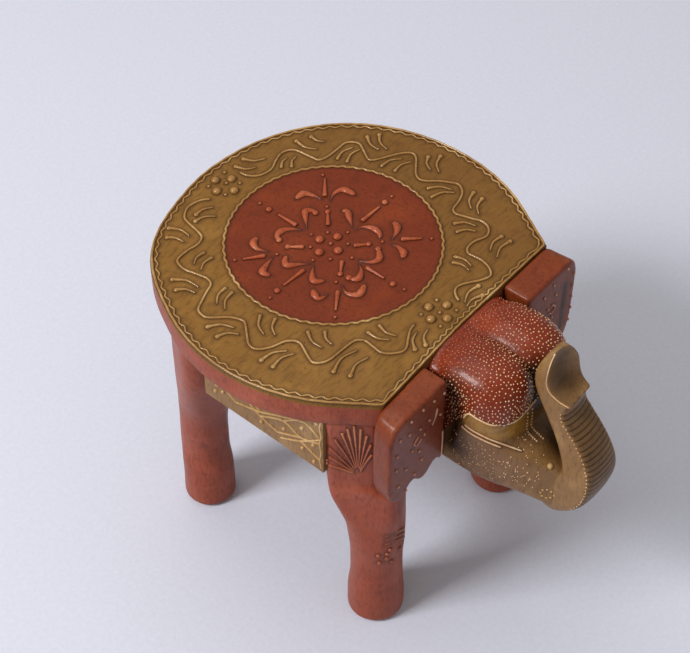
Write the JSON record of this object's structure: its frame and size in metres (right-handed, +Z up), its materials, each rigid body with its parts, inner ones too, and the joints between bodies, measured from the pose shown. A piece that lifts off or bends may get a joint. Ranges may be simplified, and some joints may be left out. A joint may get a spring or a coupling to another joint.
{
  "type": "carved elephant stool",
  "caption": "Low carved wooden stool shaped as an elephant with raised trunk, round seat, painted red and antique gold with raised folk ornament.",
  "frame": {"origin": "on the floor under the middle of the whole stool, on its centre line and halfway from rump to trunk", "axes": "+Z up, +Y from the head to the rump, +X to the elephant's left"},
  "size_m": [0.251, 0.3355, 0.271],
  "materials": {
    "gold_paint": "antiqued gold paint, varnished",
    "red_paint": "antiqued brick red paint, varnished",
    "bare_wood": "bare"
  },
  "bodies": {
    "root": {"seat_top": "gold_paint", "front_left_leg": "red_paint", "front_right_leg": "red_paint", "rear_left_leg": "red_paint", "rear_right_leg": "red_paint", "left_belly_board": "gold_paint", "right_belly_board": "gold_paint", "chest_board": "gold_paint", "rump_board": "gold_paint", "head": "gold_paint", "left_ear": "red_paint", "right_ear": "red_paint", "leg_dowels": "bare_wood", "head_dowels": "bare_wood", "ear_dowels": "bare_wood"}
  },
  "joints": []
}
